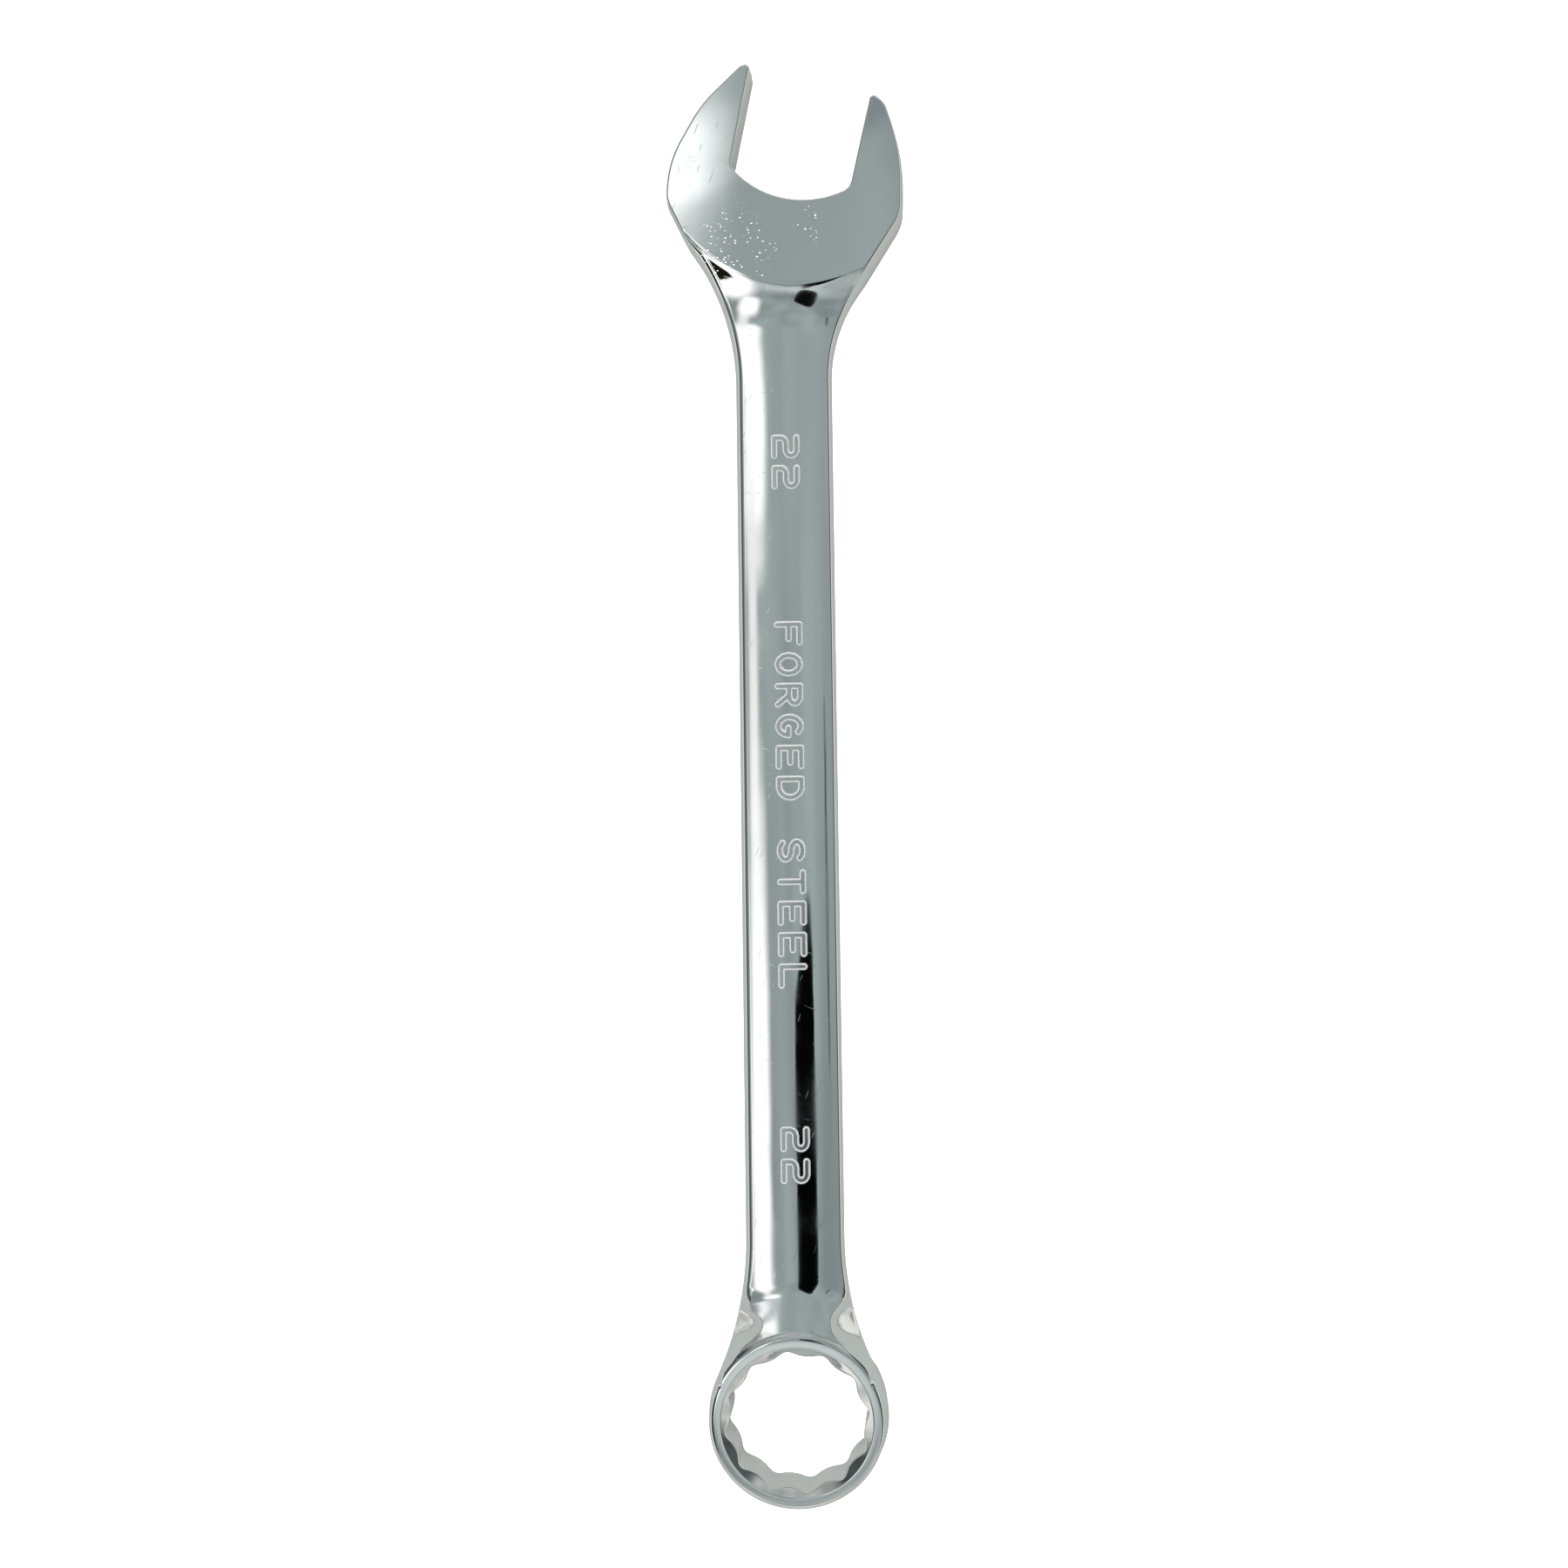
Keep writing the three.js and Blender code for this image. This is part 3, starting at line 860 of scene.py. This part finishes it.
def add_node(tree, kind, settings=None, **inputs):
    """A shader node with its settings and its inputs."""
    node = tree.nodes.new("ShaderNode" + kind)
    for name, value in (settings or {}).items():
        setattr(node, name, value)
    set_inputs(tree, node, **inputs)
    return node


def calculate(tree, operation, first, second=0.0):
    """The output of a Math node."""
    return add_node(tree, "Math", {"operation": operation}, i0=first, i1=second).outputs[0]


def noise(tree, place, scale, detail):
    """The output of a Noise Texture node."""
    return add_node(tree, "TexNoise", None, Vector=place, Scale=scale, Detail=detail).outputs[0]


def fade(tree, value, low, high, from_value=0.0, to_value=1.0):
    """A smooth change from one value to another while the input goes from low to high."""
    settings = {"interpolation_type": "SMOOTHSTEP"}
    node = add_node(tree, "MapRange", settings, Value=value, From_Min=low, From_Max=high,
                    To_Min=from_value, To_Max=to_value)
    return node.outputs["Result"]


def mix_colours(tree, share, first, second):
    """The first colour, with a share of the second."""
    node = add_node(tree, "Mix", {"data_type": "RGBA"}, Factor=share, i6=first, i7=second)
    return node.outputs[2]


# ---- chrome plate ----------------------------------------

CHROME_COLOUR = (0.8, 0.82, 0.82, 1)
POLISH = (0.03, 0.085)  # roughness of the plate where it is clearest and haziest
HAZE_SCALE = 90.0
HAZE_LEVELS = (0.3, 0.75)  # of the noise, for the clearest and the haziest

SCRATCH_SCALE = (230, 3200, 230)  # of the noise, long in one direction
SCRATCH_LEVEL = 0.73  # the noise above this is a scratch
SCRATCH_EDGE = 0.04
# The two directions that the scratches run in, in radians, and where in the noise each starts.
SCRATCH_WAYS = ((0.35, 0.0), (-1.2, 3.7))
SCRATCH_ROUGHNESS = 0.1
SCRATCH_RELIEF = 0.3

# Near-white: in the pits, whose dents and roughness are real, it is a painted glint; on the stroke
# sides it is a painted highlight.
PIT_AND_HIGHLIGHT_COLOUR = (0.97, 0.97, 0.95, 1)
PIT_TURN = 0.5  # radians; the pits are a little longer in this direction
PIT_STRETCH = (1, 0.6, 1)
PIT_SCALE = 2500.0
PIT_SIZE = 0.3  # the largest, as a share of the cell that each lies in
PIT_NONE = 0.3  # so many of the cells have no pit
PIT_CLUMP_SCALE = 420.0
PIT_CLUMP_LEVELS = (0.36, 0.42)
PIT_RELIEF = 2.0
# Where the plate is pitted, in metres over the straight wrench: (x, y, radius, amount). The
# amount falls off from a share of the radius outwards, to the little that there is anywhere.
PITTED = [(0.096, 0.009, 0.013, 1.0), (0.1, -0.004, 0.008, 0.8), (0.08, 0.001, 0.006, 0.6),
          (0.071, 0.003, 0.007, 0.6), (-0.094, 0.001, 0.008, 0.5)]
PITTED_HEIGHT = 0.012
PITTED_CORE = 0.3
PITTED_LEAST = 0.06

PALE_ROUGHNESS = 0.35  # what a pit or the painted highlight on a stroke's sloping side adds
PALE_LOSS = 0.9  # how much of its metal look it takes away
STAMPED_ROUGHNESS = 0.12
STROKE_SIDE_HIGHLIGHT = 3.0  # how strongly the sloping sides of the stamped strokes turn pale, as a painted highlight

WAVE_SCALE = 70.0
WAVE_HEIGHT = 0.00003  # metres
SUNK_DEPTH = 0.00001  # metres, of what is sunk into the plate
SUNK_STRENGTH = 0.5


def scratches(tree, place, turn, start):
    """Fine short scratches that run at an angle, as a mask."""
    turned = add_node(tree, "VectorRotate", {"rotation_type": "Z_AXIS"}, Vector=place, Angle=turn)
    stretched = add_node(tree, "Mapping", None, Vector=turned.outputs[0],
                         Location=(start, start, start), Scale=SCRATCH_SCALE)
    grain = noise(tree, stretched.outputs[0], scale=1.0, detail=1.0)
    return fade(tree, grain, SCRATCH_LEVEL, SCRATCH_LEVEL + SCRATCH_EDGE)


def pitted_places(tree, place):
    """How much the plate is pitted at each place."""
    amount = PITTED_LEAST
    for x, y, radius, most in PITTED:
        gap = add_node(tree, "VectorMath", {"operation": "DISTANCE"}, i0=place,
                       i1=(x, y, PITTED_HEIGHT)).outputs["Value"]
        here = fade(tree, gap, radius * PITTED_CORE, radius, most, 0.0)
        amount = calculate(tree, "MAXIMUM", amount, here)
    return amount


def pits(tree, place):
    """Small pits of different sizes in clumps, as a mask."""
    squashed = add_node(tree, "Mapping", None, Vector=place, Rotation=(0, 0, PIT_TURN),
                        Scale=PIT_STRETCH)
    cells = add_node(tree, "TexVoronoi", None, Vector=squashed.outputs[0], Scale=PIT_SCALE)
    chance = add_node(tree, "SeparateColor", None, Color=cells.outputs["Color"]).outputs[0]
    size = fade(tree, chance, PIT_NONE, 1.0, 0.0, PIT_SIZE)
    dots = calculate(tree, "LESS_THAN", cells.outputs["Distance"], size)
    clumps = noise(tree, place, PIT_CLUMP_SCALE, detail=2.0)
    amount = calculate(tree, "MULTIPLY", clumps, pitted_places(tree, place))
    return calculate(tree, "MULTIPLY", dots, fade(tree, amount, *PIT_CLUMP_LEVELS))


def stroke_side_highlight(tree, stamped):
    """The sloping sides of the stamped strokes, as a mask for their painted near-white highlight.
    """
    beyond = calculate(tree, "SUBTRACT", 1.0, stamped)
    return calculate(tree, "MULTIPLY", calculate(tree, "MULTIPLY", stamped, beyond), STROKE_SIDE_HIGHLIGHT)


def plate_relief(tree, place, lines, dots):
    """The plate's normal: slow waves, with the scratches and the pits sunk in."""
    waves = noise(tree, place, WAVE_SCALE, detail=1.0)
    wavy = add_node(tree, "Bump", None, Height=waves, Strength=1.0, Distance=WAVE_HEIGHT)
    sunk = calculate(tree, "ADD", calculate(tree, "MULTIPLY", lines, SCRATCH_RELIEF),
                     calculate(tree, "MULTIPLY", dots, PIT_RELIEF))
    relief = add_node(tree, "Bump", {"invert": True}, Height=sunk, Strength=SUNK_STRENGTH,
                      Distance=SUNK_DEPTH, Normal=wavy.outputs[0])
    return relief.outputs[0]


def chrome_material():
    """Polished plate: slightly wavy, with hairline scratches, small pits and dull grooves, and a
    painted near-white highlight on the pits and on the grooves' sloping sides.
    """
    material, shader = new_material("chrome_plate_finish")
    tree = material.node_tree
    place = add_node(tree, "TexCoord").outputs["Object"]
    stamped = add_node(tree, "Attribute", {"attribute_name": "stamped"}).outputs["Fac"]

    lines = calculate(tree, "MAXIMUM", *(scratches(tree, place, *way) for way in SCRATCH_WAYS))
    dots = pits(tree, place)
    # The pits and the painted highlight on the stroke sides: both turn near-white and less
    # metallic.
    pale = calculate(tree, "MAXIMUM", dots, stroke_side_highlight(tree, stamped))
    haze = noise(tree, place, HAZE_SCALE, detail=4.0)
    rough = fade(tree, haze, *HAZE_LEVELS, *POLISH)
    for mask, added in (
        (lines, SCRATCH_ROUGHNESS),
        (pale, PALE_ROUGHNESS),
        (stamped, STAMPED_ROUGHNESS),
    ):
        rough = calculate(tree, "ADD", rough, calculate(tree, "MULTIPLY", mask, added))
    metal = calculate(tree, "SUBTRACT", 1.0, calculate(tree, "MULTIPLY", pale, PALE_LOSS))
    colour = mix_colours(tree, pale, CHROME_COLOUR, PIT_AND_HIGHLIGHT_COLOUR)
    set_inputs(tree, shader, Base_Color=colour, Roughness=rough, Metallic=metal,
               Normal=plate_relief(tree, place, lines, dots))
    return material


# ---- stage -----------------------------------------------

FLOOR_SIZE = 12  # metres, as everything here
FLOOR_ROUGHNESS = 0.9
FLOOR_COLOUR = (0.9, 0.9, 0.9)
FLOOR_GLOW = 1.0
BOUNCE_DEPTH = 0.0002
BOUNCE_COLOUR = (0.32, 0.335, 0.32)
BOUNCE_GLOW = 0.1


def make_plane(name, height, colour, glow):
    """A wide dull plane that is part of the stage."""
    bpy.ops.mesh.primitive_plane_add(size=FLOOR_SIZE, location=(0, 0, height))
    plane = bpy.context.object
    plane.name = name
    material, shader = new_material(name)
    set_inputs(material.node_tree, shader, Base_Color=(*colour, 1), Roughness=FLOOR_ROUGHNESS,
               Specular_IOR_Level=0, Emission_Color=(1, 1, 1, 1), Emission_Strength=glow)
    plane.data.materials.append(material)
    return plane


def make_floor():
    """A white floor, and just under it the grey one that the plating reflects."""
    floor = make_plane("floor", 0, FLOOR_COLOUR, FLOOR_GLOW)
    floor.visible_glossy = False
    floor.visible_diffuse = False
    floor.visible_shadow = False
    bounce = make_plane("floor_bounce", -BOUNCE_DEPTH, BOUNCE_COLOUR, BOUNCE_GLOW)
    bounce.visible_camera = False


LIGHT_HEIGHT = 0.9
LIGHT_SIZE = 0.6
LIGHT_POWER = 9.0  # watts


def add_light():
    """The soft light overhead, which whitens the pits and the painted highlights on the stroke
    sides but isn't itself reflected.
    """
    lamp = bpy.data.lights.new("overhead_light", "AREA")
    lamp.size = LIGHT_SIZE
    lamp.energy = LIGHT_POWER
    light = add_object("overhead_light", lamp)
    light.location = (0, 0, LIGHT_HEIGHT)
    light.visible_glossy = False
    light.visible_camera = False


# ---- studio ----------------------------------------------

# Colours of the studio's walls and ceiling by height, from straight down to straight up: ahead
# of the wrench and behind it, and on its two sides, where a dark band runs between the pale
# walls and the ceiling.
END_WALLS = [(0.0, (0.6, 0.6, 0.57)), (0.5, (0.84, 0.83, 0.79)), (0.8, (0.52, 0.53, 0.5)),
             (0.93, (0.36, 0.4, 0.4)), (1.0, (0.35, 0.405, 0.405))]
SIDE_WALLS = [(0.0, (0.58, 0.6, 0.57)), (0.5, (0.84, 0.83, 0.79)), (0.66, (0.7, 0.7, 0.66)),
              (0.73, (0.07, 0.08, 0.08)), (0.86, (0.09, 0.105, 0.105)),
              (0.95, (0.33, 0.38, 0.38)), (1.0, (0.35, 0.405, 0.405))]
# Lights and dark things overhead, each a soft oval: the middle of its span across dx/dz and
# across dy/dz, half of each span, how soft its edge is, and its colour. Five softboxes hang on
# the left, then come three dark things, and last a paler stretch of ceiling behind the ring.
OVERHEAD = [
    ((0.263, 0.29), (0.032, 0.085), 0.4, (1.4, 1.4, 1.38)),
    ((0.195, 0.32), (0.06, 0.035), 0.6, (1.0, 1.0, 0.98)),
    ((0.045, 0.3), (0.115, 0.07), 0.4, (1.4, 1.4, 1.38)),
    ((-0.25, 0.5), (0.22, 0.2), 0.35, (1.4, 1.4, 1.38)),
    ((0.337, 0.34), (0.014, 0.18), 0.45, (1.4, 1.42, 1.4)),
    ((-0.56, 1.02), (0.3, 0.48), 0.08, (0.01, 0.009, 0.005)),
    ((0.348, -0.05), (0.01, 0.09), 0.6, (0.22, 0.26, 0.28)),
    ((0.14, -0.22), (0.05, 0.007), 0.3, (0.08, 0.09, 0.1)),
    ((-0.36, 0.08), (0.14, 0.2), 0.6, (0.66, 0.7, 0.7)),
]
OVAL_POWER = 3.0  # 2 would be an ellipse; more is squarer
SIDE_WAY = (0.5, 0.68)  # how far to the side the end walls go over into the side walls
CLUTTER_SCALE = 3.0
CLUTTER_LEVELS = (0.35, 0.65)
CLUTTER_SHADES = (0.72, 1.18)  # the darkest and brightest that uneven walls make their colours
LEAST_RISE = 0.02  # the overhead spans are taken over no less height than this


def wall_colours(tree, height, stops):
    """The colours of a pair of walls by height, as the output of a colour ramp."""
    ramp = add_node(tree, "ValToRGB", None, Fac=height)
    elements = ramp.color_ramp.elements
    elements.remove(elements[1])
    for index, (place, colour) in enumerate(stops):
        stop = elements[0] if index == 0 else elements.new(place)
        stop.position = place
        stop.color = (*colour, 1)
    return ramp.outputs[0]


def oval_mask(tree, sideways, middle, half_span, softness):
    """A soft oval over the dx/dz and dy/dz of a direction, as a mask."""
    reach = 0.0
    for value, centre, half in zip(sideways, middle, half_span):
        gap = calculate(tree, "DIVIDE", calculate(tree, "SUBTRACT", value, centre), half)
        gap = calculate(tree, "ABSOLUTE", gap)
        reach = calculate(tree, "ADD", reach, calculate(tree, "POWER", gap, OVAL_POWER))
    reach = calculate(tree, "POWER", reach, 1 / OVAL_POWER)
    return fade(tree, reach, 1 + softness, 1 - softness)


def set_world():
    """The studio round the wrench, which its plate reflects."""
    world = bpy.data.worlds.new("studio")
    bpy.context.scene.world = world
    world.use_nodes = True
    tree = world.node_tree
    direction = add_node(tree, "TexCoord").outputs["Generated"]
    ahead, aside, up = add_node(tree, "SeparateXYZ", None, Vector=direction).outputs

    height = fade(tree, up, -1.0, 1.0)
    height.node.interpolation_type = "LINEAR"
    to_side = fade(tree, calculate(tree, "ABSOLUTE", aside), *SIDE_WAY)
    ends, sides = (wall_colours(tree, height, stops) for stops in (END_WALLS, SIDE_WALLS))
    walls = mix_colours(tree, to_side, ends, sides)
    clutter = noise(tree, direction, CLUTTER_SCALE, detail=2.0)
    shade = fade(tree, clutter, *CLUTTER_LEVELS, *CLUTTER_SHADES)
    colour = add_node(tree, "VectorMath", {"operation": "SCALE"}, i0=walls, Scale=shade).outputs[0]

    rise = calculate(tree, "MAXIMUM", up, LEAST_RISE)
    sideways = [calculate(tree, "DIVIDE", way, rise) for way in (ahead, aside)]
    for middle, half_span, softness, light in OVERHEAD:
        mask = oval_mask(tree, sideways, middle, half_span, softness)
        colour = mix_colours(tree, mask, colour, (*light, 1))
    set_inputs(tree, tree.nodes["Background"], Color=colour)


# The camera's body over the wrench: its middle and its size in metres, how square it is (1 is
# an ellipse, less is squarer), and how much narrower it gets between two x towards its +X end.
CARD_CENTRE = (-0.036, -0.030, 0.72)
CARD_SIZE = (0.216, 0.106)
CARD_POWER = 0.6
CARD_POINTS = 64
CARD_NARROWING = 0.5
CARD_NARROWS = (0.035, 0.075)
CARD_COLOUR = (0.002, 0.002, 0.002, 1)


def signed_power(values, power):
    """The sizes of the values raised to a power, with the values' signs."""
    return np.sign(values) * np.abs(values) ** power


def add_camera_body():
    """A black card over the wrench that only its reflection shows."""
    name = "camera_body"
    middle_x, middle_y, height = CARD_CENTRE
    half_x, half_y = np.array(CARD_SIZE) / 2
    angles = np.linspace(0, 2 * math.pi, CARD_POINTS, endpoint=False)
    xs = middle_x + half_x * signed_power(np.cos(angles), CARD_POWER)
    ys = middle_y + half_y * signed_power(np.sin(angles), CARD_POWER)
    low = middle_y - half_y
    along = np.clip((xs - CARD_NARROWS[0]) / (CARD_NARROWS[1] - CARD_NARROWS[0]), 0, 1)
    ys = low + (ys - low) * (1 - CARD_NARROWING * along)
    corners = [(x, y, height) for x, y in zip(xs, ys)]
    mesh = bpy.data.meshes.new(name)
    mesh.from_pydata(corners, [], [tuple(range(len(corners)))])
    card = add_object(name, mesh)
    material, shader = new_material(name)
    set_inputs(material.node_tree, shader, Base_Color=CARD_COLOUR, Specular_IOR_Level=0)
    mesh.materials.append(material)
    card.visible_camera = False
    card.visible_shadow = False
    card.visible_diffuse = False


# ---- camera ----------------------------------------------

CAMERA_PLACE = Vector((-0.09, -0.042, 0.7))  # from the middle of the shank, along its axes
CAMERA_TARGET = Vector((0, 0, 0.004))
CAMERA_ROLL = math.radians(-0.756)
CAMERA_LENS = 90.45
CAMERA_SENSOR = 36.0
CAMERA_SHIFT = (-0.0025, 0.0017)
CAMERA_NEAREST = 0.01


def add_camera(resting):
    """The camera over the wrench. resting is the matrix that laid the wrench in its place."""
    camera = bpy.data.cameras.new("camera")
    camera.lens = CAMERA_LENS
    camera.sensor_width = CAMERA_SENSOR
    camera.clip_start = CAMERA_NEAREST
    view = add_object("camera", camera)
    back = (CAMERA_PLACE - CAMERA_TARGET).normalized()
    right = Vector((1, 0, 0)).cross(back).normalized()
    up = back.cross(right)
    straight = Matrix((right, up, back)).transposed().to_4x4()
    roll = Matrix.Rotation(CAMERA_ROLL, 4, "Z")
    view.matrix_world = resting @ Matrix.Translation(CAMERA_PLACE) @ straight @ roll
    camera.shift_x, camera.shift_y = CAMERA_SHIFT
    bpy.context.scene.camera = view


# ---- the scene -------------------------------------------

wrench, resting = make_wrench()
wrench.data.materials.append(chrome_material())
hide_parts("forged_wrench")
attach(wrench, "root")

make_floor()
add_light()
set_world()
add_camera_body()
add_camera(resting)
bpy.context.scene.view_settings.view_transform = "Standard"
